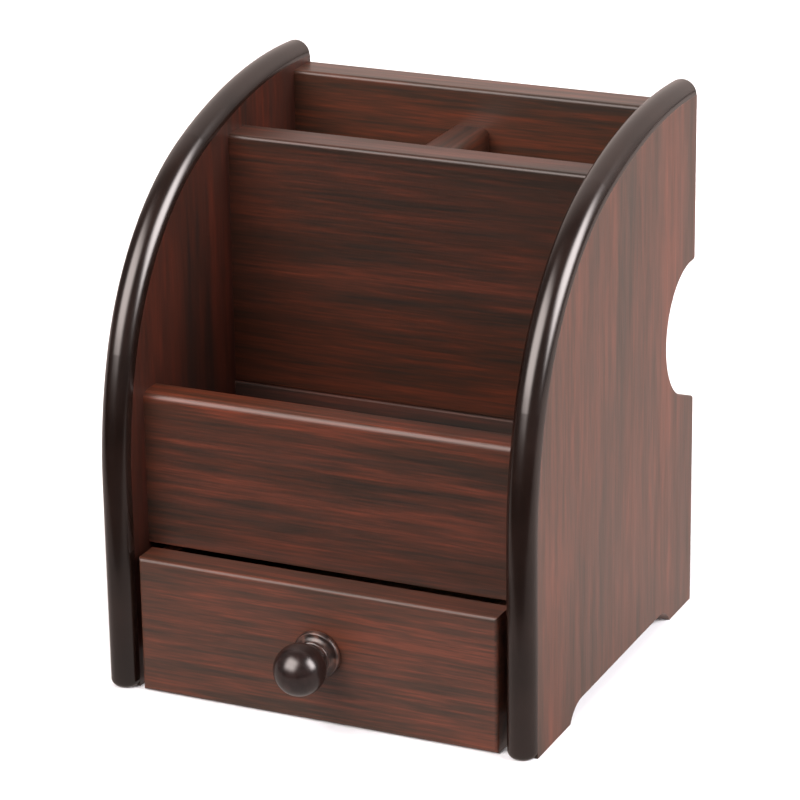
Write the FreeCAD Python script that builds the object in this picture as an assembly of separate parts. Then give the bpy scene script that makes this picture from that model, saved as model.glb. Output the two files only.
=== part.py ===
"""Wooden desk organizer with curved side panels, three compartments and one pull-out drawer.

Units are millimetres. X is the width, -Y is the front and +Z is up. The origin is at the middle of
the bounding box on the surface that the feet stand on. Depths are measured forwards from the back
edges of the side panels, so depth 0 is the back and a larger depth is nearer to the front.
"""
import FreeCAD, Part
import math
import os
from FreeCAD import Vector

# ---------------------------------------------------------------- driving dimensions
# Carcass
WIDTH = 135.0                  # over the outer faces of the side panels
SIDE_THICKNESS = 9.0
BOARD_THIN = 9.0               # front panel, floor board and drawer front
BOARD_THICK = 12.0             # back panel, middle panel and pen divider
INNER_X = WIDTH / 2 - SIDE_THICKNESS

# Outline of a side panel, without its rounded edge moulding
SIDE_DEPTH = 123.0             # from the back edge to the flat edge that carries the moulding
FRONT_STRAIGHT = 63.0          # height of the upright stretch at the front
LOW_RADIUS, LOW_SWEEP = 121.0, 18.0     # radius and angle of the three arcs, from the front
MID_RADIUS, MID_SWEEP = 79.0, 51.0
TOP_RADIUS = 166.0             # this arc runs on until it meets the back edge
MOULDING_RADIUS = SIDE_THICKNESS / 2
MOULDING_FOOT_ROUND = 2.2      # at the lower end
MOULDING_BACK_ROUND = 1.0      # at the end above the back edge

# Hand notch in the back edge of each side panel:
# a round end with a level upper wall and a sloping lower one
NOTCH_RADIUS = 20.5
NOTCH_Z = 89.3
NOTCH_CENTRE_DEPTH = 2.9
NOTCH_SLOPE = 20.0             # the lower wall falls at this angle towards the back
NOTCH_CORNER = 1.0
NOTCH_OVERRUN = 2.4            # the notch runs on this far into the back panel's end

# Feet, left standing by a low recess under each side panel
RECESS_HEIGHT = 4.9
RECESS_RADIUS = 10.0
FRONT_FOOT_DEPTH = 98.8        # depth of the front foot's rear end
REAR_FOOT_LENGTH = 18.4

# Cross boards
BACK_PANEL_TOP = 158.5
BACK_PANEL_BOTTOM = RECESS_HEIGHT
MIDDLE_FRONT_DEPTH = 56.5      # front face of the upper middle board
MIDDLE_TOP = 150.1
MIDDLE_SEAM_Z = 73.0           # joint between the two middle boards
MIDDLE_STEP = 0.6              # the lower middle board stands this far proud
DIVIDER_TOP = 146.9
FRONT_PANEL_DEPTH = 114.2      # front face of the front panel
FRONT_PANEL_TOP = 88.8
FLOOR_TOP = 51.5
FLOOR_UNDERSIDE = FLOOR_TOP - BOARD_THIN
BOTTOM_THICKNESS = 3.0
BOTTOM_UNDERSIDE = 7.5
BOTTOM_FRONT_DEPTH = 113.0
GROOVE_DEPTH = 3.0
GROOVE_PLAY = 0.1

# Drawer
DRAWER_FACE_DEPTH = 125.3
DRAWER_HALF_WIDTH = 56.3
DRAWER_FRONT_BOTTOM = 0.3
DRAWER_FRONT_TOP = 41.9
DRAWER_WALL = 6.0
DRAWER_BOX_TOP = 39.5
RUN_GAP = 0.3                  # under the drawer box, and behind it when it is shut
DRAWER_GROOVE_RISE = 2.5       # from the lower edge of a drawer side to its groove

# Knob and its screw
KNOB_X = 1.0                   # the hole is drilled this far right of the middle
KNOB_Z = 21.7
KNOB_BALL_RADIUS = 7.6
KNOB_BALL_REACH = 12.0         # from the drawer's face to the middle of the ball
KNOB_FLANGE_RADIUS = 7.3
KNOB_FLANGE_THICKNESS = 2.2
KNOB_NECK_RADIUS = 4.3
KNOB_COVE_RADIUS = 4.6         # radius of the turning at the foot of the cove and beside the bead
KNOB_COVE_REACH = 3.3          # where the cove ends and the bead begins
KNOB_BEAD_RADIUS = 5.3
KNOB_BEAD_WIDTH = 1.4
SCREW_RADIUS = 1.5
SCREW_PILOT_RADIUS = 1.6
SCREW_CLEARANCE_RADIUS = 1.75
SCREW_GRIP = 9.0               # length of screw inside the knob
SCREW_HEAD_RADIUS = 3.4
SCREW_HEAD_HEIGHT = 2.0
SCREW_SLOT_LENGTH = 3.6
SCREW_SLOT_WIDTH = 0.9
SCREW_SLOT_DEPTH = 1.1

# Glued dowels and pins
DOWEL_RADIUS = 2.5
DOWEL_SHORT_END = 6.0          # length in the board that the dowel enters through its face
DOWEL_LONG_END = 12.0          # length in the end of the other board
DOWEL_PLAY = 0.05
DOWEL_END_GAP = 0.3
BACK_DOWEL_HEIGHTS = (30.0, 135.0)      # in the ends of each board
UPPER_DOWEL_HEIGHTS = (86.0, 136.0)
LOWER_DOWEL_HEIGHT = 59.0
FRONT_DOWEL_HEIGHTS = (52.0, 78.0)
FLOOR_DOWEL_DEPTHS = (32.0, 82.0)
DIVIDER_DOWEL_HEIGHTS = (62.0, 130.0)
FACE_DOWEL_X = 32.0                     # joints between boards, each side of the middle
DRAWER_DOWEL_RADIUS = 1.5
DRAWER_DOWEL_SHORT = 6.0
DRAWER_DOWEL_LONG = 10.0
PIN_RADIUS = 0.6
PIN_LENGTH = 16.0
PIN_HEAD_RADIUS = 1.1
PIN_HEAD_HEIGHT = 0.5
DRAWER_JOINT_HEIGHTS = (20.5, 30.0)

# Rounding of board edges
SOFT_EDGE = 1.2
FINE_EDGE = 0.6
LIP_EDGE = 2.4
DIVIDER_EDGE = 2.4

# ---------------------------------------------------------------- derived places
OVERALL_DEPTH = DRAWER_FACE_DEPTH + KNOB_BALL_REACH + KNOB_BALL_RADIUS
BACK_Y = OVERALL_DEPTH / 2
NOTCH_DEPTH = NOTCH_CENTRE_DEPTH + NOTCH_RADIUS
MIDDLE_BACK_DEPTH = MIDDLE_FRONT_DEPTH - BOARD_THICK
FRONT_PANEL_BACK_DEPTH = FRONT_PANEL_DEPTH - BOARD_THIN
DRAWER_FRONT_BACK_DEPTH = DRAWER_FACE_DEPTH - BOARD_THIN
DRAWER_REAR_DEPTH = BOARD_THICK + RUN_GAP
DRAWER_BOX_BOTTOM = BOTTOM_UNDERSIDE + BOTTOM_THICKNESS + RUN_GAP
DRAWER_BOTTOM_Z = DRAWER_BOX_BOTTOM + DRAWER_GROOVE_RISE
DRAWER_INNER_X = DRAWER_HALF_WIDTH - DRAWER_WALL
X_AXIS = Vector(1, 0, 0)
Y_AXIS = Vector(0, 1, 0)
Z_AXIS = Vector(0, 0, 1)
TOLERANCE = 1e-3


# ---------------------------------------------------------------- helpers
def place(x, depth, z):
    """A point from its X, its depth forwards from the back and its height."""
    return Vector(x, BACK_Y - depth, z)


def board(x0, x1, depth_back, depth_front, z0, z1):
    """A rectangular board between two X, two depths and two heights."""
    corner = place(x0, depth_front, z0)
    return Part.makeBox(x1 - x0, depth_front - depth_back, z1 - z0, corner)


def is_long_edge(edge, depth, z):
    """True for a straight edge along X that lies at this depth and height."""
    box = edge.BoundBox
    flat = box.YLength < TOLERANCE and box.ZLength < TOLERANCE
    return flat and abs(box.YMin - (BACK_Y - depth)) < TOLERANCE and abs(box.ZMin - z) < TOLERANCE


def round_long_edges(shape, places, radius):
    """Round the edges along X at the given (depth, height) places."""
    edges = [e for e in shape.Edges if any(is_long_edge(e, d, z) for d, z in places)]
    return shape.makeFillet(radius, edges)


def round_cross_edges(shape, z, radius):
    """Round the edges that run from front to back at this height."""
    boxes = [(edge, edge.BoundBox) for edge in shape.Edges]
    edges = [e for e, box in boxes if box.ZMin > z - TOLERANCE and box.XLength < TOLERANCE]
    return shape.makeFillet(radius, edges)


def peg(centre, axis, radius, back, ahead):
    """A cylinder through a point, reaching back and ahead of it along an axis."""
    return Part.makeCylinder(radius, back + ahead, centre - axis * back, axis)


def carcass_dowels():
    """Every dowel of the carcass as (joint point, axis into the long end, short, long)."""
    short, long_end = DOWEL_SHORT_END, DOWEL_LONG_END
    half = (short + long_end) / 2
    back = BOARD_THICK / 2
    middle = MIDDLE_FRONT_DEPTH - BOARD_THICK / 2
    front = FRONT_PANEL_DEPTH - BOARD_THIN / 2
    floor_z = FLOOR_TOP - BOARD_THIN / 2
    side_joints = [(back, z) for z in BACK_DOWEL_HEIGHTS]
    side_joints += [(middle, z) for z in UPPER_DOWEL_HEIGHTS]
    side_joints += [(middle, LOWER_DOWEL_HEIGHT)]
    side_joints += [(front, z) for z in FRONT_DOWEL_HEIGHTS]
    side_joints += [(depth, floor_z) for depth in FLOOR_DOWEL_DEPTHS]
    rows = []
    for depth, z in side_joints:
        rows.append((place(-INNER_X, depth, z), X_AXIS, short, long_end))
        rows.append((place(INNER_X, depth, z), -X_AXIS, short, long_end))
    for z in DIVIDER_DOWEL_HEIGHTS:
        rows.append((place(0, MIDDLE_BACK_DEPTH, z), Y_AXIS, short, long_end))
        rows.append((place(0, BOARD_THICK, z), -Y_AXIS, short, long_end))
    for x in (-FACE_DOWEL_X, FACE_DOWEL_X):
        rows.append((place(x, middle, MIDDLE_SEAM_Z), Z_AXIS, half, half))
        rows.append((place(x / 2, middle, FLOOR_TOP), Z_AXIS, short, long_end))
        rows.append((place(x, FRONT_PANEL_BACK_DEPTH, floor_z), Y_AXIS, short, long_end))
    return rows


def drawer_dowels():
    """The dowels between the drawer front and the front ends of the drawer sides."""
    rows = []
    for side in (-1, 1):
        for z in DRAWER_JOINT_HEIGHTS:
            x = side * (DRAWER_HALF_WIDTH - DRAWER_WALL / 2)
            rows.append((place(x, DRAWER_FRONT_BACK_DEPTH, z), Y_AXIS))
    return rows


def drawer_pins():
    """The pins driven through the drawer sides into the ends of the drawer back."""
    rows = []
    for side in (-1, 1):
        for z in DRAWER_JOINT_HEIGHTS:
            point = place(side * DRAWER_HALF_WIDTH, DRAWER_REAR_DEPTH + DRAWER_WALL / 2, z)
            rows.append((point, Vector(-side, 0, 0)))
    return rows


def drill_carcass(shape):
    """Cut the dowel holes that fall in this board."""
    for point, axis, short, long_end in carcass_dowels():
        radius = DOWEL_RADIUS + DOWEL_PLAY
        shape = shape.cut(peg(point, axis, radius, short + DOWEL_END_GAP, long_end + DOWEL_END_GAP))
    return shape


def drill_drawer(shape):
    """Cut the dowel and pin holes that fall in this piece of the drawer."""
    for point, axis in drawer_dowels():
        radius = DRAWER_DOWEL_RADIUS + DOWEL_PLAY
        back, ahead = DRAWER_DOWEL_SHORT + DOWEL_END_GAP, DRAWER_DOWEL_LONG + DOWEL_END_GAP
        shape = shape.cut(peg(point, axis, radius, back, ahead))
    for point, axis in drawer_pins():
        shape = shape.cut(peg(point, axis, PIN_RADIUS, 0, PIN_LENGTH))
        shape = shape.cut(peg(point, axis, PIN_HEAD_RADIUS, 0, PIN_HEAD_HEIGHT))
    return shape


# ---------------------------------------------------------------- side panels
def outline_arcs():
    """Centre (depth, z), radius, start and end angle of the three arcs of the front and top.

    The angle is that of the tangent from the vertical, so 0 climbs and 90 runs level to the back.
    """
    arcs = []
    depth, z, angle = SIDE_DEPTH, FRONT_STRAIGHT, 0.0
    for radius, sweep in ((LOW_RADIUS, LOW_SWEEP), (MID_RADIUS, MID_SWEEP), (TOP_RADIUS, None)):
        start = math.radians(angle)
        centre_depth = depth - radius * math.cos(start)
        centre_z = z - radius * math.sin(start)
        if sweep is None:
            sweep = math.degrees(math.acos(-centre_depth / radius)) - angle
        end = math.radians(angle + sweep)
        arcs.append((centre_depth, centre_z, radius, start, end))
        depth = centre_depth + radius * math.cos(end)
        z = centre_z + radius * math.sin(end)
        angle += sweep
    return arcs


def arc_edge(x, centre_depth, centre_z, radius, start, end):
    """An arc in the plane of X. An angle of 0 points to the front and 90 degrees points up."""
    def point(angle):
        return place(x, centre_depth + radius * math.cos(angle), centre_z + radius * math.sin(angle))
    return Part.Arc(point(start), point((start + end) / 2), point(end)).toShape()


def line_edge(x, start, end):
    """A straight edge in the plane of X between two (depth, z) points."""
    return Part.LineSegment(place(x, *start), place(x, *end)).toShape()


def notch_edges(x):
    """The edges of a hand notch in the plane of X, and the heights where it meets the back edge."""
    slope = math.radians(NOTCH_SLOPE)
    up = math.pi / 2
    top = NOTCH_Z + NOTCH_RADIUS
    reach = NOTCH_RADIUS + NOTCH_CORNER
    run = (NOTCH_CENTRE_DEPTH + reach * math.sin(slope) - NOTCH_CORNER) / math.cos(slope)
    low = NOTCH_Z - reach * math.cos(slope) - run * math.sin(slope)
    wall_start = (
        NOTCH_CENTRE_DEPTH + NOTCH_RADIUS * math.sin(slope),
        NOTCH_Z - NOTCH_RADIUS * math.cos(slope),
    )
    wall_end = (NOTCH_CORNER * (1 - math.sin(slope)), low + NOTCH_CORNER * math.cos(slope))
    edges = [
        arc_edge(x, NOTCH_CORNER, top + NOTCH_CORNER, NOTCH_CORNER, 2 * up, 3 * up),
        line_edge(x, (NOTCH_CORNER, top), (NOTCH_CENTRE_DEPTH, top)),
        arc_edge(x, NOTCH_CENTRE_DEPTH, NOTCH_Z, NOTCH_RADIUS, up, slope - up),
        line_edge(x, wall_start, wall_end),
        arc_edge(x, NOTCH_CORNER, low, NOTCH_CORNER, up + slope, 2 * up),
    ]
    return edges, top + NOTCH_CORNER, low


def side_outline(x):
    """The closed outline of a side panel in the plane of X, without its moulding."""
    ramp = math.acos(1 - RECESS_HEIGHT / RECESS_RADIUS)
    ramp_run = RECESS_RADIUS * math.sin(ramp)
    recess_centre_z = RECESS_HEIGHT - RECESS_RADIUS
    rear_ramp_depth = REAR_FOOT_LENGTH + ramp_run
    front_ramp_depth = FRONT_FOOT_DEPTH - ramp_run
    up = math.pi / 2

    notch, notch_top, notch_low = notch_edges(x)
    arcs = outline_arcs()
    last = arcs[-1]
    top_back_z = last[1] + last[2] * math.sin(last[4])

    edges = [
        line_edge(x, (0, 0), (REAR_FOOT_LENGTH, 0)),
        arc_edge(x, rear_ramp_depth, recess_centre_z, RECESS_RADIUS, up + ramp, up),
        line_edge(x, (rear_ramp_depth, RECESS_HEIGHT), (front_ramp_depth, RECESS_HEIGHT)),
        arc_edge(x, front_ramp_depth, recess_centre_z, RECESS_RADIUS, up, up - ramp),
        line_edge(x, (FRONT_FOOT_DEPTH, 0), (SIDE_DEPTH, 0)),
        line_edge(x, (SIDE_DEPTH, 0), (SIDE_DEPTH, FRONT_STRAIGHT)),
    ]
    edges += [arc_edge(x, *arc) for arc in arcs]
    edges += [line_edge(x, (0, top_back_z), (0, notch_top)), *notch, line_edge(x, (0, notch_low), (0, 0))]
    return Part.Wire(Part.__sortEdges__(edges))


def make_side_panel(side):
    """A curved side panel: side -1 is the left one and side 1 the right one."""
    x0 = INNER_X if side > 0 else -WIDTH / 2
    panel = Part.Face(side_outline(x0)).extrude(Vector(SIDE_THICKNESS, 0, 0))
    back_edges = []
    for edge in panel.Edges:
        box = edge.BoundBox
        on_a_face = box.XLength < TOLERANCE
        at_the_back = box.YMin > BACK_Y - NOTCH_DEPTH - TOLERANCE
        if on_a_face and at_the_back and box.ZMax > FINE_EDGE:
            back_edges.append(edge)
    panel = panel.makeFillet(FINE_EDGE, back_edges)
    groove_x = INNER_X + GROOVE_DEPTH
    groove = board(-groove_x, groove_x, BOARD_THICK, BOTTOM_FRONT_DEPTH + GROOVE_PLAY,
                   BOTTOM_UNDERSIDE - GROOVE_PLAY / 2, BOTTOM_UNDERSIDE + BOTTOM_THICKNESS + GROOVE_PLAY / 2)
    return drill_carcass(panel.cut(groove))


def make_edge_moulding(side):
    """The lacquered half-round moulding along the front and top edge of a side panel."""
    centre_x = side * (INNER_X + SIDE_THICKNESS / 2)
    radius = MOULDING_RADIUS
    foot = [place(centre_x + dx, SIDE_DEPTH + dd, 0) for dx, dd in ((-radius, 0), (0, radius), (radius, 0))]
    half_round = Part.Arc(*foot).toShape()
    flat = Part.LineSegment(foot[2], foot[0]).toShape()
    section = Part.Face(Part.Wire([half_round, flat]))
    pieces = [section.extrude(Vector(0, 0, FRONT_STRAIGHT))]
    section.translate(Vector(0, 0, FRONT_STRAIGHT))
    for centre_depth, centre_z, _, start, end in outline_arcs():
        centre = place(0, centre_depth, centre_z)
        turn = -math.degrees(end - start)
        pieces.append(section.revolve(centre, X_AXIS, turn))
        section.rotate(centre, X_AXIS, turn)
    strip = pieces[0].fuse(pieces[1:]).removeSplitter()
    trim = board(-WIDTH, WIDTH, 0, OVERALL_DEPTH, 0, 2 * WIDTH)
    strip = strip.common(trim)
    curved = [edge for edge in strip.Edges if edge.Curve.TypeId != "Part::GeomLine"]
    at_floor = [edge for edge in curved if edge.BoundBox.ZMax < TOLERANCE]
    strip = strip.makeFillet(MOULDING_FOOT_ROUND, at_floor)
    curved = [edge for edge in strip.Edges if edge.Curve.TypeId != "Part::GeomLine"]
    at_back = [edge for edge in curved if edge.BoundBox.YMin > BACK_Y - TOLERANCE]
    return strip.makeFillet(MOULDING_BACK_ROUND, at_back)


# ---------------------------------------------------------------- cross boards
def make_back_panel():
    """The back panel. The hand notches run a little way into its ends."""
    panel = board(-INNER_X, INNER_X, 0, BOARD_THICK, BACK_PANEL_BOTTOM, BACK_PANEL_TOP)
    panel = round_long_edges(panel, [(0, BACK_PANEL_TOP), (BOARD_THICK, BACK_PANEL_TOP)], SOFT_EDGE)
    for x in (-INNER_X, INNER_X - NOTCH_OVERRUN):
        notch, notch_top, notch_low = notch_edges(x)
        mouth = line_edge(x, (0, notch_top), (0, notch_low))
        space = Part.Face(Part.Wire(Part.__sortEdges__([*notch, mouth])))
        panel = panel.cut(space.extrude(X_AXIS * NOTCH_OVERRUN))
    return drill_carcass(panel)


def make_middle_panel_upper():
    """The upper board of the partition between the front and the pen compartments."""
    panel = board(-INNER_X, INNER_X, MIDDLE_BACK_DEPTH, MIDDLE_FRONT_DEPTH, MIDDLE_SEAM_Z, MIDDLE_TOP)
    tops = [(MIDDLE_BACK_DEPTH, MIDDLE_TOP), (MIDDLE_FRONT_DEPTH, MIDDLE_TOP)]
    panel = round_long_edges(panel, tops, SOFT_EDGE)
    panel = round_long_edges(panel, [(MIDDLE_FRONT_DEPTH, MIDDLE_SEAM_Z)], FINE_EDGE)
    return drill_carcass(panel)


def make_middle_panel_lower():
    """The lower board of the partition. It stands on the floor board."""
    front = MIDDLE_FRONT_DEPTH + MIDDLE_STEP
    panel = board(-INNER_X, INNER_X, MIDDLE_BACK_DEPTH, front, FLOOR_TOP, MIDDLE_SEAM_Z)
    panel = round_long_edges(panel, [(front, MIDDLE_SEAM_Z)], FINE_EDGE)
    return drill_carcass(panel)


def make_pen_divider():
    """The short board that splits the rear space into two pen compartments."""
    half = BOARD_THICK / 2
    panel = board(-half, half, BOARD_THICK, MIDDLE_BACK_DEPTH, FLOOR_TOP, DIVIDER_TOP)
    return drill_carcass(round_cross_edges(panel, DIVIDER_TOP, DIVIDER_EDGE))


def make_front_panel():
    """The low panel in front of the front compartment."""
    rear, front = FRONT_PANEL_BACK_DEPTH, FRONT_PANEL_DEPTH
    panel = board(-INNER_X, INNER_X, rear, front, FLOOR_UNDERSIDE, FRONT_PANEL_TOP)
    panel = round_long_edges(panel, [(front, FRONT_PANEL_TOP)], LIP_EDGE)
    panel = round_long_edges(panel, [(rear, FRONT_PANEL_TOP)], SOFT_EDGE)
    return drill_carcass(panel)


def make_floor_board():
    """The floor of the compartments, which is also the roof of the drawer's space."""
    rear, front = BOARD_THICK, FRONT_PANEL_BACK_DEPTH
    return drill_carcass(board(-INNER_X, INNER_X, rear, front, FLOOR_UNDERSIDE, FLOOR_TOP))


def make_bottom_board():
    """The thin bottom that the drawer slides on, held in a groove in each side panel."""
    half = INNER_X + GROOVE_DEPTH - GROOVE_PLAY
    top = BOTTOM_UNDERSIDE + BOTTOM_THICKNESS
    return board(-half, half, BOARD_THICK, BOTTOM_FRONT_DEPTH, BOTTOM_UNDERSIDE, top)


def make_carcass_dowels():
    """All the carcass dowels, which are the same size, as separate solids."""
    return Part.makeCompound([peg(p, axis, DOWEL_RADIUS, s, l) for p, axis, s, l in carcass_dowels()])


# ---------------------------------------------------------------- drawer
def drawer_bottom_slab(play):
    """The space of the drawer's bottom panel and its grooves, larger by the given play."""
    half = DRAWER_INNER_X + GROOVE_DEPTH - GROOVE_PLAY + play
    rear = DRAWER_REAR_DEPTH + DRAWER_WALL - GROOVE_DEPTH + GROOVE_PLAY - play
    front = DRAWER_FRONT_BACK_DEPTH + GROOVE_DEPTH - GROOVE_PLAY + play
    lift = play / 2
    return board(-half, half, rear, front, DRAWER_BOTTOM_Z - lift, DRAWER_BOTTOM_Z + BOTTOM_THICKNESS + lift)


def make_drawer_front():
    """The drawer's face, with rounded front edges and the hole for the knob's screw."""
    half, rear, front = DRAWER_HALF_WIDTH, DRAWER_FRONT_BACK_DEPTH, DRAWER_FACE_DEPTH
    face = board(-half, half, rear, front, DRAWER_FRONT_BOTTOM, DRAWER_FRONT_TOP)
    front_y = BACK_Y - front
    face = face.makeFillet(SOFT_EDGE, [e for e in face.Edges if e.BoundBox.YMax < front_y + TOLERANCE])
    knob_seat = place(KNOB_X, front, KNOB_Z)
    hole = peg(knob_seat, Y_AXIS, SCREW_CLEARANCE_RADIUS, BOARD_THIN, BOARD_THIN)
    return drill_drawer(face.cut(hole).cut(drawer_bottom_slab(GROOVE_PLAY)))


def make_drawer_side(side):
    """A side of the drawer box, grooved on its inner face for the bottom panel."""
    x0 = DRAWER_INNER_X if side > 0 else -DRAWER_HALF_WIDTH
    rear, front = DRAWER_REAR_DEPTH, DRAWER_FRONT_BACK_DEPTH
    wall = board(x0, x0 + DRAWER_WALL, rear, front, DRAWER_BOX_BOTTOM, DRAWER_BOX_TOP)
    wall = round_cross_edges(wall, DRAWER_BOX_TOP, FINE_EDGE)
    return drill_drawer(wall.cut(drawer_bottom_slab(GROOVE_PLAY)))


def make_drawer_back():
    """The back of the drawer box, pinned between its sides."""
    rear, front = DRAWER_REAR_DEPTH, DRAWER_REAR_DEPTH + DRAWER_WALL
    wall = board(-DRAWER_INNER_X, DRAWER_INNER_X, rear, front, DRAWER_BOX_BOTTOM, DRAWER_BOX_TOP)
    wall = round_long_edges(wall, [(rear, DRAWER_BOX_TOP), (front, DRAWER_BOX_TOP)], FINE_EDGE)
    return drill_drawer(wall.cut(drawer_bottom_slab(GROOVE_PLAY)))


def make_drawer_bottom():
    """The thin bottom panel of the drawer."""
    return drawer_bottom_slab(0.0)


def make_drawer_knob():
    """A turned knob: a flange on the drawer's face, a cove, a bead, a neck and a ball."""
    def at(reach, radius):
        return place(KNOB_X + radius, DRAWER_FACE_DEPTH + reach, KNOB_Z)

    flange, thick = KNOB_FLANGE_RADIUS, KNOB_FLANGE_THICKNESS
    rim = thick / 2
    shoulder = flange - rim / 2
    cove, bead_end = KNOB_COVE_REACH, KNOB_COVE_REACH + KNOB_BEAD_WIDTH
    hollow = at((thick + cove) / 2 - rim / 4, (shoulder + KNOB_COVE_RADIUS) / 2 - rim / 4)
    crest = at((cove + bead_end) / 2, KNOB_BEAD_RADIUS)
    neck = KNOB_NECK_RADIUS
    ball_start = KNOB_BALL_REACH - math.sqrt(KNOB_BALL_RADIUS ** 2 - neck ** 2)
    ball_end = KNOB_BALL_REACH + KNOB_BALL_RADIUS
    slant = KNOB_BALL_RADIUS * math.sqrt(0.5)
    edges = [
        Part.LineSegment(at(0, 0), at(0, shoulder)).toShape(),
        Part.Arc(at(0, shoulder), at(rim, flange), at(thick, shoulder)).toShape(),
        Part.Arc(at(thick, shoulder), hollow, at(cove, KNOB_COVE_RADIUS)).toShape(),
        Part.Arc(at(cove, KNOB_COVE_RADIUS), crest, at(bead_end, KNOB_COVE_RADIUS)).toShape(),
        Part.LineSegment(at(bead_end, KNOB_COVE_RADIUS), at(ball_start, neck)).toShape(),
        Part.Arc(at(ball_start, neck), at(KNOB_BALL_REACH + slant, slant), at(ball_end, 0)).toShape(),
        Part.LineSegment(at(ball_end, 0), at(0, 0)).toShape(),
    ]
    knob = Part.Face(Part.Wire(edges)).revolve(at(0, 0), Y_AXIS, 360)
    pilot = peg(at(0, 0), -Y_AXIS, SCREW_PILOT_RADIUS, 0, SCREW_GRIP + DOWEL_END_GAP)
    return Part.Solid(knob.Shells[0]).cut(pilot)


def make_knob_screw():
    """The screw that holds the knob from inside the drawer, with a cross slot in its head."""
    seat = place(KNOB_X, DRAWER_FRONT_BACK_DEPTH, KNOB_Z)
    shank = peg(seat, -Y_AXIS, SCREW_RADIUS, 0, BOARD_THIN + SCREW_GRIP)
    head = peg(seat, Y_AXIS, SCREW_HEAD_RADIUS, 0, SCREW_HEAD_HEIGHT)
    rim = [e for e in head.Edges if e.BoundBox.YMin > seat.y + SCREW_HEAD_HEIGHT - TOLERANCE and e.Closed]
    head = head.makeFillet(SCREW_HEAD_HEIGHT / 2, rim)
    slot_y = seat.y + SCREW_HEAD_HEIGHT - SCREW_SLOT_DEPTH
    for size_x, size_z in ((SCREW_SLOT_LENGTH, SCREW_SLOT_WIDTH), (SCREW_SLOT_WIDTH, SCREW_SLOT_LENGTH)):
        corner = Vector(seat.x - size_x / 2, slot_y, seat.z - size_z / 2)
        head = head.cut(Part.makeBox(size_x, SCREW_HEAD_HEIGHT, size_z, corner))
    return shank.fuse(head).removeSplitter()


def make_drawer_dowels():
    """The small dowels in the front corners of the drawer, as separate solids."""
    return Part.makeCompound([peg(p, axis, DRAWER_DOWEL_RADIUS, DRAWER_DOWEL_SHORT, DRAWER_DOWEL_LONG)
                              for p, axis in drawer_dowels()])


def make_drawer_pins():
    """The headed pins in the rear corners of the drawer, as separate solids."""
    pins = []
    for point, axis in drawer_pins():
        head = peg(point, axis, PIN_HEAD_RADIUS, 0, PIN_HEAD_HEIGHT)
        pins.append(head.fuse(peg(point, axis, PIN_RADIUS, 0, PIN_LENGTH)).removeSplitter())
    return Part.makeCompound(pins)


# ---------------------------------------------------------------- the whole object
def make_parts():
    """Every node of the organizer by name."""
    return {
        "side_panel_left": make_side_panel(-1),
        "side_panel_right": make_side_panel(1),
        "edge_moulding_left": make_edge_moulding(-1),
        "edge_moulding_right": make_edge_moulding(1),
        "back_panel": make_back_panel(),
        "middle_panel_upper": make_middle_panel_upper(),
        "middle_panel_lower": make_middle_panel_lower(),
        "pen_divider": make_pen_divider(),
        "front_panel": make_front_panel(),
        "floor_board": make_floor_board(),
        "bottom_board": make_bottom_board(),
        "carcass_dowels": make_carcass_dowels(),
        "drawer_front": make_drawer_front(),
        "drawer_side_left": make_drawer_side(-1),
        "drawer_side_right": make_drawer_side(1),
        "drawer_back": make_drawer_back(),
        "drawer_bottom": make_drawer_bottom(),
        "drawer_knob": make_drawer_knob(),
        "knob_screw": make_knob_screw(),
        "drawer_dowels": make_drawer_dowels(),
        "drawer_pins": make_drawer_pins(),
    }


os.makedirs("parts", exist_ok=True)
for name, shape in make_parts().items():
    solids = shape.Solids
    print(f"{name}: {len(solids)} solid(s), valid {shape.isValid()}, volume {shape.Volume:.0f} mm3")
    export = solids[0] if len(solids) == 1 else Part.makeCompound(solids)
    export.exportStep(f"parts/{name}.step")
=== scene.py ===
"""Looks of the wooden desk organizer: grain, lacquer, light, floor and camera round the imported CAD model."""
import bpy
import math
from mathutils import Matrix, Vector


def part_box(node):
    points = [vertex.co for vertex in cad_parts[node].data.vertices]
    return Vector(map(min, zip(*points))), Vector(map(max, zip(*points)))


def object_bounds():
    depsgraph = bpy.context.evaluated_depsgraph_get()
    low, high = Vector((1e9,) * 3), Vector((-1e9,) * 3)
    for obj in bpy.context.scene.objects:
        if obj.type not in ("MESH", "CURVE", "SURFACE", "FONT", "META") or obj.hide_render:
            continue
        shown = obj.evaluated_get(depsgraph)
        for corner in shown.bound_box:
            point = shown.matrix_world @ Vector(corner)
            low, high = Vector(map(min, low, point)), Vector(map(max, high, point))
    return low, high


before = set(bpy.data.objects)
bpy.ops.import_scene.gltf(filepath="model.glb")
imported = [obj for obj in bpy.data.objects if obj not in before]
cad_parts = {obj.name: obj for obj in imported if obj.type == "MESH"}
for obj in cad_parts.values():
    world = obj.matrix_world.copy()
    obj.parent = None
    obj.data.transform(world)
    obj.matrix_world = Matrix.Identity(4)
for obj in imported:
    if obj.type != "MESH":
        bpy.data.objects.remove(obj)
CAD_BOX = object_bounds()

# ---------------------------------------------------------------- driving values, in metres and degrees
MM = 0.001

CAMERA_AZIMUTH = 24.82         # round from the front towards +X
CAMERA_ELEVATION = 20.18
CAMERA_ROLL = -0.885
CAMERA_DISTANCE = 1.1312
CAMERA_TARGET = (-0.03015, 0.07245, 0.0514)
CAMERA_LENS = 161.96
SENSOR_WIDTH = 36.0
CAMERA_CLIP = (0.01, 100.0)

LIGHT_DISTANCE = 4.0
LEFT_BOX = {"azimuth": -23.0, "elevation": 38.0, "width": 68.0, "height": 64.0, "radiance": 9.0,
            "colour": (1.0, 0.88, 0.84)}
RIGHT_BOX = {"azimuth": 97.0, "elevation": 32.0, "width": 54.0, "height": 52.0, "radiance": 15.5,
             "colour": (1.0, 0.91, 0.90)}
BOX_FADE = 0.34                # the share of a softbox's width and height over which each edge fades

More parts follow.
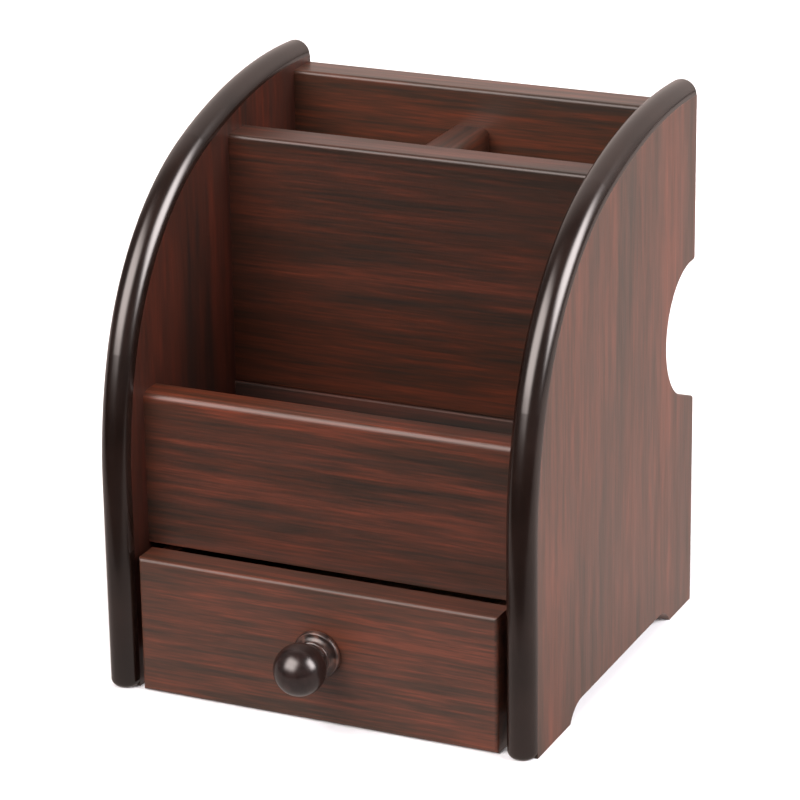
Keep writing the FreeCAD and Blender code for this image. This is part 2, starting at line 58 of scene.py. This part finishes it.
FLOOR_SIZE = 60.0
FLOOR_COLOUR = (0.84, 0.90, 0.95)
FLOOR_ROUGHNESS = 0.9
FLOOR_SPECULAR = 0.1
CARD_FRONT = -0.145            # the reflection card on the floor starts here
CARD_REACH = 3.0
CARD_BLEND = (-0.10, 0.08)     # from here to here along Y it brightens
CARD_GLOW = (0.45, 0.95)

BACKDROP_TOWARDS = (-168.0, 26.0)      # azimuth and elevation of the middle of the bright backdrop
BACKDROP_EDGE = (62.0, 32.0)           # it fades in between these angles from its middle
BACKDROP_GLOW = 1.0
ROOM_GLOW = 0.14
WORLD_COLOUR = (1.0, 0.83, 0.77)


# ---------------------------------------------------------------- node helpers
class Graph:
    """A material's node tree with short calls for the nodes used here."""

    def __init__(self, name):
        self.material = bpy.data.materials.new(name)
        self.material.use_nodes = True
        self.tree = self.material.node_tree
        self.shader = self.tree.nodes["Principled BSDF"]
        self.place = self.tree.nodes.new("ShaderNodeTexCoord").outputs["Object"]

    def feed(self, socket, value):
        """Link a socket to an output, or set it to a plain value."""
        if isinstance(value, bpy.types.NodeSocket):
            self.tree.links.new(value, socket)
        else:
            socket.default_value = value

    def stretch(self, vector, scale, shift=(0, 0, 0)):
        """Scale a place and move it."""
        node = self.tree.nodes.new("ShaderNodeMapping")
        self.feed(node.inputs["Vector"], vector)
        node.inputs["Scale"].default_value = scale
        node.inputs["Location"].default_value = shift
        return node.outputs["Vector"]

    def noise(self, vector, detail=2.0, roughness=0.5):
        node = self.tree.nodes.new("ShaderNodeTexNoise")
        self.feed(node.inputs["Vector"], vector)
        node.inputs["Scale"].default_value = 1.0
        node.inputs["Detail"].default_value = detail
        node.inputs["Roughness"].default_value = roughness
        return node.outputs["Fac"]

    def layer(self, scale, detail, roughness=0.5):
        """Noise at the place on the object, with these changes per metre along X, Y and Z."""
        return self.noise(self.stretch(self.place, scale), detail, roughness)

    def math(self, operation, first, second=0.0):
        node = self.tree.nodes.new("ShaderNodeMath")
        node.operation = operation
        self.feed(node.inputs[0], first)
        self.feed(node.inputs[1], second)
        return node.outputs[0]

    def span(self, value, low, high, out_low=0.0, out_high=1.0):
        """Map low..high to out_low..out_high, held at both ends. The low value may be above the high one."""
        node = self.tree.nodes.new("ShaderNodeMapRange")
        self.feed(node.inputs["Value"], value)
        for key, number in (("From Min", low), ("From Max", high), ("To Min", out_low), ("To Max", out_high)):
            node.inputs[key].default_value = number
        return node.outputs["Result"]

    def ramp(self, value, stops):
        node = self.tree.nodes.new("ShaderNodeValToRGB")
        self.feed(node.inputs["Fac"], value)
        elements = node.color_ramp.elements
        while len(elements) < len(stops):
            elements.new(0.5)
        for element, (position, colour) in zip(elements, stops):
            element.position = position
            element.color = (*colour, 1.0)
        return node.outputs["Color"]

    def mix(self, factor, first, second, mode="MIX"):
        node = self.tree.nodes.new("ShaderNodeMix")
        node.data_type = "RGBA"
        node.blend_type = mode
        self.feed(node.inputs["Factor"], factor)
        for socket, value in ((node.inputs["A"], first), (node.inputs["B"], second)):
            self.feed(socket, value if isinstance(value, bpy.types.NodeSocket) else (*value, 1.0))
        return node.outputs["Result"]

    def parts(self, vector):
        node = self.tree.nodes.new("ShaderNodeSeparateXYZ")
        self.feed(node.inputs[0], vector)
        return node.outputs

    def blend(self, first, second, share):
        """Two values added up by the first one's share."""
        rest = self.math("MULTIPLY", second, 1.0 - share)
        return self.math("ADD", self.math("MULTIPLY", first, share), rest)

    def bump(self, height, strength, distance):
        node = self.tree.nodes.new("ShaderNodeBump")
        node.inputs["Strength"].default_value = strength
        node.inputs["Distance"].default_value = distance
        self.feed(node.inputs["Height"], height)
        self.feed(self.shader.inputs["Normal"], node.outputs["Normal"])

    def edges(self, radius):
        """0 on flat faces, rising towards 1 on edges sharper than this radius."""
        bevel = self.tree.nodes.new("ShaderNodeBevel")
        bevel.samples = BEVEL_SAMPLES
        bevel.inputs["Radius"].default_value = radius
        geometry = self.tree.nodes.new("ShaderNodeNewGeometry")
        dot = self.tree.nodes.new("ShaderNodeVectorMath")
        dot.operation = "DOT_PRODUCT"
        self.feed(dot.inputs[0], bevel.outputs["Normal"])
        self.feed(dot.inputs[1], geometry.outputs["Normal"])
        return self.span(dot.outputs["Value"], *EDGE_COSINES)


# ---------------------------------------------------------------- materials
# Grain layers: changes per metre along and across the grain, detail, roughness and share of the tone
BANDS = (7.0, 95.0, 2.0, 0.55, 0.32)
STREAKS = (18.0, 420.0, 4.0, 0.66, 0.37)
LINES = (55.0, 1500.0, 3.0, 0.60, 0.31)
PORES = (110.0, 3600.0, 1.0, 0.50, 0.45)
GRAIN_WAVE = (11.0, 22.0)      # changes per metre along and across of the grain's slow wander
GRAIN_DRIFT = 1.5 * MM
SEED_STEP = (3.7, 5.3, 7.9)    # how far each board's seed shifts its grain along X, Y and Z

ROSEWOOD_TONES = (
    (0.00, (0.0110, 0.0084, 0.0070)),
    (0.28, (0.0225, 0.0122, 0.0080)),
    (0.52, (0.0430, 0.0152, 0.0088)),
    (0.78, (0.0780, 0.0205, 0.0105)),
    (1.00, (0.1210, 0.0300, 0.0142)),
)
TONE_MIDDLE, TONE_SPREAD = 0.51, 0.17
PORE_TONE = (0.012, 0.008, 0.006)
PORE_EDGES = (0.66, 0.76)
# Rosewood edges: a lighter tone on sharp edges, partly rubbed foil and partly a painted highlight along them
WORN_AND_HIGHLIGHT_TONE = (0.13, 0.058, 0.042)
WEAR_AND_HIGHLIGHT_LINES = (0.35, 0.7)       # the fine lines' values between which the edge wear and painted highlight grow
WEAR_AND_HIGHLIGHT = (0.05, 0.4)
SATIN_ROUGHNESS = (0.38, 0.30)
SATIN_SPECULAR = 0.42
GRAIN_BUMP = (0.35, 0.03 * MM)         # strength and height of the relief
LINE_RELIEF = 0.6              # how far the lines stand up, where a pore goes down by 1

SIDE_CONTRAST = 0.72           # the side panels' grain is quieter than that of the cross boards
SIDE_COARSE = 1.7              # and wider
SIDE_PAINTED_LIGHTNESS = 1.25               # and lighter, which is painted light on their lit outer faces
SIDE_INNER_PAINTED_SHADE = (0.58, 0.50, 0.56)   # painted shade: the side panels' inner faces darkened, shaded inside the compartments
LIP_PAINTED_HIGHLIGHT = (1.55, 1.20, 1.00)  # painted highlight: a lighter, redder band along the front panel's lip
LIP_FADE = 9.0 * MM

NOISE_RANGE = (0.3, 0.7)       # most of a noise's values lie between these
MIX_RANGE = (0.35, 0.65)       # a narrower range, for a mix of two noises or a crisper look
WEAR_AND_HIGHLIGHT_RADIUS = 0.5 * MM         # edges sharper than this show wear, on the rosewood also a painted highlight
BEVEL_SAMPLES = 4
EDGE_COSINES = (0.995, 0.80)   # cosines of a bent normal between which an edge grows from 0 to 1
NO_TINT = (1.0, 1.0, 1.0)

# The layers below are changes per metre along X, Y and Z, and detail

LACQUER_IOR = 1.6
LACQUER_TONES = ((0.0, (0.0046, 0.0024, 0.0018)), (1.0, (0.0090, 0.0044, 0.0032)))
LACQUER_WORN_TONE, LACQUER_WEAR = (0.055, 0.018, 0.012), 0.35
LACQUER_ROUGHNESS = (0.19, 0.23)
LACQUER_CLOUD = ((60, 60, 60), 2.0)
LACQUER_PEEL = ((420, 420, 420), 1.0)
LACQUER_BUMP = (0.08, 0.05 * MM)       # strength and height of the relief

KNOB_DARK_TONES = ((0.0, (0.006, 0.0038, 0.0036)), (1.0, (0.015, 0.0078, 0.0070)))
KNOB_BROWN_TONES = ((0.0, (0.022, 0.0110, 0.0085)), (1.0, (0.120, 0.0560, 0.0400)))
KNOB_BROWN_START, KNOB_BROWN_FULL = 7.0 * MM, 0.8 * MM     # distances from the drawer's face
KNOB_RINGS = ((260, 1900, 260), 2.0)
KNOB_CLOUD = ((350, 350, 350), 2.0)
KNOB_PATCHES = (0.35, 0.6)     # the cloud's values between which the brown wood shows
KNOB_ROUGHNESS = (0.20, 0.27)
KNOB_FOOT_ROUGHNESS = 0.10     # this much rougher at the foot
KNOB_BUMP = (0.10, 0.04 * MM)

HARDBOARD_FLECKS = ((1400, 500, 900), 3.0, 0.65)       # the last value is the noise's roughness
HARDBOARD_CLOUD = ((40, 40, 40), 2.0)
HARDBOARD_TONES = ((0.0, (0.12, 0.060, 0.030)), (1.0, (0.24, 0.135, 0.070)))
HARDBOARD_ROUGHNESS = (0.55, 0.72)
HARDBOARD_BUMP = (0.3, 0.05 * MM)
FLECK_SHARE = 0.7              # the flecks' share of the tone, the rest being the cloud's

BEECH_RAYS = ((500, 500, 1800), 2.0, 0.6)
BEECH_CLOUD = ((90, 90, 90), 1.0)
BEECH_TONES = ((0.0, (0.40, 0.24, 0.12)), (1.0, (0.58, 0.40, 0.22)))
BEECH_ROUGHNESS = (0.5, 0.65)
BEECH_BUMP = (0.25, 0.04 * MM)
RAY_SHARE = 0.6

ZINC_MARKS = ((3000, 600, 3000), 2.0)
ZINC_CLOUD = ((300, 300, 300), 2.0)
ZINC_TONES = ((0.0, (0.42, 0.42, 0.41)), (1.0, (0.60, 0.60, 0.57)))
ZINC_ROUGHNESS = (0.22, 0.42)
ZINC_BUMP = (0.2, 0.02 * MM)

# Every plain board: its material, the axis of its grain, its seed, and how light and how glossy it is. How
# light is painted light and shade, set for each board to the light it catches; the middle panel deep in the
# compartments is darkened most.
CARCASS_BOARDS = (
    ("back_panel", "rosewood_back", "X", 3.0, 1.5, 1.0),
    ("middle_panel_upper", "rosewood_middle_upper", "X", 4.0, 0.85, 1.0),
    ("middle_panel_lower", "rosewood_middle_lower", "X", 4.0, 0.68, 0.5),
    ("pen_divider", "rosewood_divider", "Y", 5.0, 1.0, 1.0),
    ("floor_board", "rosewood_floor", "X", 7.0, 1.0, 1.0),
)
DRAWER_BOARDS = (
    ("drawer_front", "rosewood_drawer_front", "X", 8.0, 1.4, 0.85),
    ("drawer_side_left", "rosewood_drawer_left", "Y", 9.0, 1.0, 1.0),
    ("drawer_side_right", "rosewood_drawer_right", "Y", 10.0, 1.0, 1.0),
    ("drawer_back", "rosewood_drawer_back", "X", 11.0, 1.0, 1.0),
)
# The front panel's seed, and its lightness as painted light and shade like the boards' above
FRONT_SEED, FRONT_PAINTED_LIGHTNESS = 6.0, 0.95


def grain_scale(grain, along, across):
    """A scale vector with the along value on the grain's axis."""
    return tuple(along if axis == grain else across for axis in "XYZ")


def drifted_place(g, grain, shift):
    """The place on the object, moved a little across the grain so that the lines wander."""
    wave = g.noise(g.stretch(g.place, grain_scale(grain, *GRAIN_WAVE), shift))
    drift = g.math("MULTIPLY", g.math("SUBTRACT", wave, 0.5), GRAIN_DRIFT)
    join = g.tree.nodes.new("ShaderNodeCombineXYZ")
    for axis, value, socket in zip("XYZ", g.parts(g.place), join.inputs):
        g.feed(socket, value if axis == grain else g.math("ADD", value, drift))
    return join.outputs[0]


def rosewood(name, grain, seed, contrast=1.0, coarse=1.0, painted_lightness=1.0, gloss=1.0, painted_band=None):
    """Satin rosewood foil: broad bands, streaks, fine lines and pores that run along one axis.

    A painted band is (axis, start, end, colour): full at the start and fading out to the end along that axis.
    It paints shade on the side panels' inner faces and a highlight along the front panel's lip.
    The painted lightness scales every tone, as painted light and shade for each board.
    """
    g = Graph(name)
    shift = tuple(seed * step for step in SEED_STEP)
    place = drifted_place(g, grain, shift)
    bands, streaks, lines, pores = (
        g.noise(g.stretch(place, grain_scale(grain, along, across / coarse), shift), detail, roughness)
        for along, across, detail, roughness, share in (BANDS, STREAKS, LINES, PORES)
    )
    tone = g.math("ADD", g.math("MULTIPLY", bands, BANDS[-1]), g.math("MULTIPLY", streaks, STREAKS[-1]))
    tone = g.math("ADD", tone, g.math("MULTIPLY", lines, LINES[-1]))
    tone = g.span(tone, TONE_MIDDLE - TONE_SPREAD / contrast, TONE_MIDDLE + TONE_SPREAD / contrast)
    # The tones scaled by the painted lightness: painted light and shade for the whole board
    tones = [(stop, tuple(channel * painted_lightness for channel in colour)) for stop, colour in ROSEWOOD_TONES]
    colour = g.ramp(tone, tones)
    pore = g.span(pores, *PORE_EDGES)
    colour = g.mix(g.math("MULTIPLY", pore, PORES[-1]), colour, PORE_TONE)
    # Lighter sharp edges: worn foil, and partly a painted highlight along the edges
    wear_and_highlight = g.math("MULTIPLY", g.edges(WEAR_AND_HIGHLIGHT_RADIUS), g.span(lines, *WEAR_AND_HIGHLIGHT_LINES, *WEAR_AND_HIGHLIGHT))
    colour = g.mix(wear_and_highlight, colour, WORN_AND_HIGHLIGHT_TONE)
    # Painted light and shade along one axis: shade on the side panels' inner faces, a highlight along the
    # front panel's lip
    if painted_band is not None:
        axis, start, end, painted_band_colour = painted_band
        distance = g.math("ABSOLUTE", g.parts(g.place)["XYZ".index(axis)])
        fade = g.ramp(g.span(distance, start, end), ((0.0, painted_band_colour), (1.0, NO_TINT)))
        colour = g.mix(1.0, colour, fade, "MULTIPLY")

    g.feed(g.shader.inputs["Base Color"], colour)
    satin = [roughness / gloss for roughness in SATIN_ROUGHNESS]
    g.feed(g.shader.inputs["Roughness"], g.span(streaks, *NOISE_RANGE, *satin))
    g.shader.inputs["Specular IOR Level"].default_value = SATIN_SPECULAR
    g.bump(g.math("SUBTRACT", g.math("MULTIPLY", lines, LINE_RELIEF), pore), *GRAIN_BUMP)
    return g.material


def black_lacquer(name):
    """Thick, nearly black gloss lacquer with a faint brown glow and a slight orange peel."""
    g = Graph(name)
    cloud = g.layer(*LACQUER_CLOUD)
    colour = g.ramp(g.span(cloud, *NOISE_RANGE), LACQUER_TONES)
    colour = g.mix(g.math("MULTIPLY", g.edges(WEAR_AND_HIGHLIGHT_RADIUS), LACQUER_WEAR), colour, LACQUER_WORN_TONE)
    g.feed(g.shader.inputs["Base Color"], colour)
    g.feed(g.shader.inputs["Roughness"], g.span(cloud, *NOISE_RANGE, *LACQUER_ROUGHNESS))
    g.shader.inputs["IOR"].default_value = LACQUER_IOR
    g.bump(g.layer(*LACQUER_PEEL), *LACQUER_BUMP)
    return g.material


def knob_lacquer(name, drawer_face):
    """Dark gloss lacquer that shows brown wood on the turned rings near the drawer's face."""
    g = Graph(name)
    depth = g.parts(g.place)["Y"]
    reach = g.span(depth, drawer_face - KNOB_BROWN_START, drawer_face - KNOB_BROWN_FULL)
    rings = g.layer(*KNOB_RINGS)
    cloud = g.layer(*KNOB_CLOUD)
    dark = g.ramp(g.span(cloud, *NOISE_RANGE), KNOB_DARK_TONES)
    brown = g.ramp(g.span(rings, *MIX_RANGE), KNOB_BROWN_TONES)
    colour = g.mix(g.math("MULTIPLY", reach, g.span(cloud, *KNOB_PATCHES)), dark, brown)
    g.feed(g.shader.inputs["Base Color"], colour)
    foot = g.math("MULTIPLY", reach, KNOB_FOOT_ROUGHNESS)
    g.feed(g.shader.inputs["Roughness"], g.math("ADD", g.span(rings, *NOISE_RANGE, *KNOB_ROUGHNESS), foot))
    g.shader.inputs["IOR"].default_value = LACQUER_IOR
    g.bump(rings, *KNOB_BUMP)
    return g.material


def hardboard(name):
    """Brown pressed fibre board with a smooth, faintly flecked face."""
    g = Graph(name)
    flecks = g.layer(*HARDBOARD_FLECKS)
    tone = g.blend(flecks, g.layer(*HARDBOARD_CLOUD), FLECK_SHARE)
    colour = g.ramp(g.span(tone, *MIX_RANGE), HARDBOARD_TONES)
    g.feed(g.shader.inputs["Base Color"], colour)
    g.feed(g.shader.inputs["Roughness"], g.span(flecks, *NOISE_RANGE, *HARDBOARD_ROUGHNESS))
    g.bump(flecks, *HARDBOARD_BUMP)
    return g.material


def beech(name):
    """Pale turned beech with short rays."""
    g = Graph(name)
    rays = g.layer(*BEECH_RAYS)
    tone = g.blend(rays, g.layer(*BEECH_CLOUD), RAY_SHARE)
    colour = g.ramp(g.span(tone, *MIX_RANGE), BEECH_TONES)
    g.feed(g.shader.inputs["Base Color"], colour)
    g.feed(g.shader.inputs["Roughness"], g.span(rays, *NOISE_RANGE, *BEECH_ROUGHNESS))
    g.bump(rays, *BEECH_BUMP)
    return g.material


def zinc_steel(name):
    """Zinc plated steel with fine turning marks."""
    g = Graph(name)
    marks = g.layer(*ZINC_MARKS)
    colour = g.ramp(g.span(g.layer(*ZINC_CLOUD), *NOISE_RANGE), ZINC_TONES)
    g.feed(g.shader.inputs["Base Color"], colour)
    g.shader.inputs["Metallic"].default_value = 1.0
    g.feed(g.shader.inputs["Roughness"], g.span(marks, *NOISE_RANGE, *ZINC_ROUGHNESS))
    g.bump(marks, *ZINC_BUMP)
    return g.material


def give(node, material):
    """Put one material on every slot of a CAD node."""
    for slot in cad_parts[node].material_slots:
        slot.link = "OBJECT"
        slot.material = material


def give_boards(boards):
    """Give each board of a table its own rosewood."""
    for node, name, grain, seed, painted_lightness, gloss in boards:
        give(node, rosewood(name, grain, seed, painted_lightness=painted_lightness, gloss=gloss))


def dress_side(side, seed):
    """A side panel, lighter outside as painted light and darker inside as painted shade, and its moulding."""
    node = "side_panel_" + side
    inner, outer = sorted(abs(corner.x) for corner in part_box(node))
    # Painted shade on the inner face, fading out towards the outer face
    painted_band = ("X", inner, outer, SIDE_INNER_PAINTED_SHADE)
    give(node, rosewood("rosewood_side_" + side, "Z", seed, SIDE_CONTRAST, SIDE_COARSE, SIDE_PAINTED_LIGHTNESS, painted_band=painted_band))
    give("edge_moulding_" + side, black_lacquer("black_lacquer_" + side))


def dress_carcass():
    dress_side("left", 1.0)
    dress_side("right", 2.0)
    give_boards(CARCASS_BOARDS)
    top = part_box("front_panel")[1].z
    # A painted highlight: a lighter, redder band along the front panel's top, fading out over the lip
    lip_painted_highlight = ("Z", top, top - LIP_FADE, LIP_PAINTED_HIGHLIGHT)
    give("front_panel", rosewood("rosewood_front", "X", FRONT_SEED, painted_lightness=FRONT_PAINTED_LIGHTNESS, painted_band=lip_painted_highlight))
    give("bottom_board", hardboard("hardboard_carcass"))
    give("carcass_dowels", beech("beech_carcass"))


def dress_drawer():
    give_boards(DRAWER_BOARDS)
    give("drawer_bottom", hardboard("hardboard_drawer"))
    give("drawer_knob", knob_lacquer("knob_lacquer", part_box("drawer_knob")[1].y))
    give("knob_screw", zinc_steel("zinc_screw"))
    give("drawer_dowels", beech("beech_drawer"))
    give("drawer_pins", zinc_steel("zinc_pins"))


# ---------------------------------------------------------------- stage, light and camera
def sheet(name, x0, x1, y0, y1, z, material):
    """A flat stage surface."""
    mesh = bpy.data.meshes.new(name)
    mesh.from_pydata([(x0, y0, z), (x1, y0, z), (x1, y1, z), (x0, y1, z)], [], [(0, 1, 2, 3)])
    mesh.materials.append(material)
    surface = bpy.data.objects.new(name, mesh)
    bpy.context.scene.collection.objects.link(surface)
    return surface


def pale_floor(name):
    """A matt, faintly cool white."""
    g = Graph(name)
    g.shader.inputs["Base Color"].default_value = (*FLOOR_COLOUR, 1.0)
    g.shader.inputs["Roughness"].default_value = FLOOR_ROUGHNESS
    g.shader.inputs["Specular IOR Level"].default_value = FLOOR_SPECULAR
    return g.material


def glowing_card(name):
    """A card that glows more behind the object than in front of it."""
    g = Graph(name)
    glow = g.tree.nodes.new("ShaderNodeEmission")
    glow.inputs["Color"].default_value = (*WORLD_COLOUR, 1.0)
    g.feed(glow.inputs["Strength"], g.span(g.parts(g.place)[1], *CARD_BLEND, *CARD_GLOW))
    g.feed(g.tree.nodes["Material Output"].inputs["Surface"], glow.outputs[0])
    return g.material


def make_floor():
    """A pale floor, and a card in its place that only the gloss sees, as a table that ends in front."""
    half = FLOOR_SIZE / 2
    floor = sheet("floor_sheet", -half, half, -half, half, 0.0, pale_floor("pale_floor"))
    floor.visible_glossy = False
    glow = glowing_card("card_glow")
    card = sheet("reflection_card", -CARD_REACH, CARD_REACH, CARD_FRONT, CARD_REACH, 0.0, glow)
    card.visible_camera = False
    card.visible_diffuse = False
    card.visible_transmission = False
    card.visible_shadow = False


def direction(azimuth, elevation):
    """The unit vector towards an azimuth from the front and an elevation."""
    a, e = math.radians(azimuth), math.radians(elevation)
    return Vector((math.sin(a) * math.cos(e), -math.cos(a) * math.cos(e), math.sin(e)))


def fade_edges(lamp):
    """Let a softbox's glow fade out towards its four edges, as it does through a diffuser."""
    lamp.use_nodes = True
    tree = lamp.node_tree
    split = tree.nodes.new("ShaderNodeSeparateXYZ")
    tree.links.new(tree.nodes.new("ShaderNodeNewGeometry").outputs["Parametric"], split.inputs[0])
    fades = []
    for axis in "XY":
        middle = tree.nodes.new("ShaderNodeMath")
        middle.operation = "PINGPONG"          # 0 at both edges and 0.5 in the middle
        tree.links.new(split.outputs[axis], middle.inputs[0])
        middle.inputs[1].default_value = 0.5
        fade = tree.nodes.new("ShaderNodeMapRange")
        fade.interpolation_type = "SMOOTHSTEP"
        tree.links.new(middle.outputs[0], fade.inputs["Value"])
        fade.inputs["From Max"].default_value = BOX_FADE
        fades.append(fade.outputs["Result"])
    product = tree.nodes.new("ShaderNodeMath")
    product.operation = "MULTIPLY"
    for socket, value in zip(product.inputs, fades):
        tree.links.new(value, socket)
    tree.links.new(product.outputs[0], tree.nodes["Emission"].inputs["Strength"])


def softbox(name, azimuth, elevation, width, height, radiance, colour):
    """A rectangular area light of the given angular size, seen from the object."""
    centre = (CAD_BOX[0] + CAD_BOX[1]) / 2
    towards = direction(azimuth, elevation)
    lamp = bpy.data.lights.new(name, "AREA")
    lamp.shape = "RECTANGLE"
    lamp.size = 2 * LIGHT_DISTANCE * math.tan(math.radians(width / 2))
    lamp.size_y = 2 * LIGHT_DISTANCE * math.tan(math.radians(height / 2))
    lamp.energy = math.pi * radiance * lamp.size * lamp.size_y
    lamp.color = colour
    fade_edges(lamp)
    holder = bpy.data.objects.new(name, lamp)
    holder.location = centre + towards * LIGHT_DISTANCE
    holder.rotation_mode = "QUATERNION"
    holder.rotation_quaternion = (-towards).to_track_quat("-Z", "Y")
    bpy.context.scene.collection.objects.link(holder)


def make_world():
    """Soft surroundings: a bright backdrop, a dim room, darkness below, and a pale tone to the camera."""
    world = bpy.data.worlds.new("studio")
    world.use_nodes = True
    tree = world.node_tree
    background = tree.nodes["Background"]
    place = tree.nodes.new("ShaderNodeTexCoord").outputs["Generated"]
    facing = tree.nodes.new("ShaderNodeVectorMath")
    facing.operation = "DOT_PRODUCT"
    tree.links.new(place, facing.inputs[0])
    facing.inputs[1].default_value = direction(*BACKDROP_TOWARDS)
    fade = tree.nodes.new("ShaderNodeMapRange")
    fade.interpolation_type = "SMOOTHSTEP"
    edge, core = (math.cos(math.radians(angle)) for angle in BACKDROP_EDGE)
    ranges = {"From Min": edge, "From Max": core, "To Min": ROOM_GLOW, "To Max": BACKDROP_GLOW}
    for key, number in ranges.items():
        fade.inputs[key].default_value = number
    tree.links.new(facing.outputs["Value"], fade.inputs["Value"])
    split = tree.nodes.new("ShaderNodeSeparateXYZ")
    tree.links.new(place, split.inputs[0])
    above = tree.nodes.new("ShaderNodeMath")
    above.operation = "GREATER_THAN"
    tree.links.new(split.outputs["Z"], above.inputs[0])
    above.inputs[1].default_value = 0.0
    lit = tree.nodes.new("ShaderNodeMath")
    lit.operation = "MULTIPLY"
    tree.links.new(above.outputs[0], lit.inputs[0])
    tree.links.new(fade.outputs["Result"], lit.inputs[1])
    glow = tree.nodes.new("ShaderNodeBackground")
    glow.inputs["Color"].default_value = (*WORLD_COLOUR, 1.0)
    tree.links.new(lit.outputs[0], glow.inputs["Strength"])
    background.inputs["Color"].default_value = (1.0, 1.0, 1.0, 1.0)
    choose = tree.nodes.new("ShaderNodeMixShader")
    tree.links.new(tree.nodes.new("ShaderNodeLightPath").outputs["Is Camera Ray"], choose.inputs["Fac"])
    tree.links.new(glow.outputs[0], choose.inputs[1])
    tree.links.new(background.outputs[0], choose.inputs[2])
    tree.links.new(choose.outputs[0], tree.nodes["World Output"].inputs["Surface"])
    bpy.context.scene.world = world


def make_camera():
    """The camera at the viewing angle, with its small roll."""
    back = direction(CAMERA_AZIMUTH, CAMERA_ELEVATION)
    right = (-back).cross(Vector((0, 0, 1))).normalized()
    up = back.cross(right)
    roll = math.radians(CAMERA_ROLL)
    across = right * math.cos(roll) + up * math.sin(roll)
    upright = up * math.cos(roll) - right * math.sin(roll)
    place = Vector(CAMERA_TARGET) + back * CAMERA_DISTANCE
    data = bpy.data.cameras.new("camera")
    data.lens = CAMERA_LENS
    data.sensor_width = SENSOR_WIDTH
    data.clip_start, data.clip_end = CAMERA_CLIP
    camera = bpy.data.objects.new("camera", data)
    bpy.context.scene.collection.objects.link(camera)
    camera.matrix_world = Matrix.Translation(place) @ Matrix((across, upright, back)).transposed().to_4x4()
    bpy.context.scene.camera = camera


dress_carcass()
dress_drawer()
make_floor()
softbox("left_softbox", **LEFT_BOX)
softbox("right_softbox", **RIGHT_BOX)
make_world()
make_camera()
bpy.context.scene.view_settings.view_transform = "Standard"
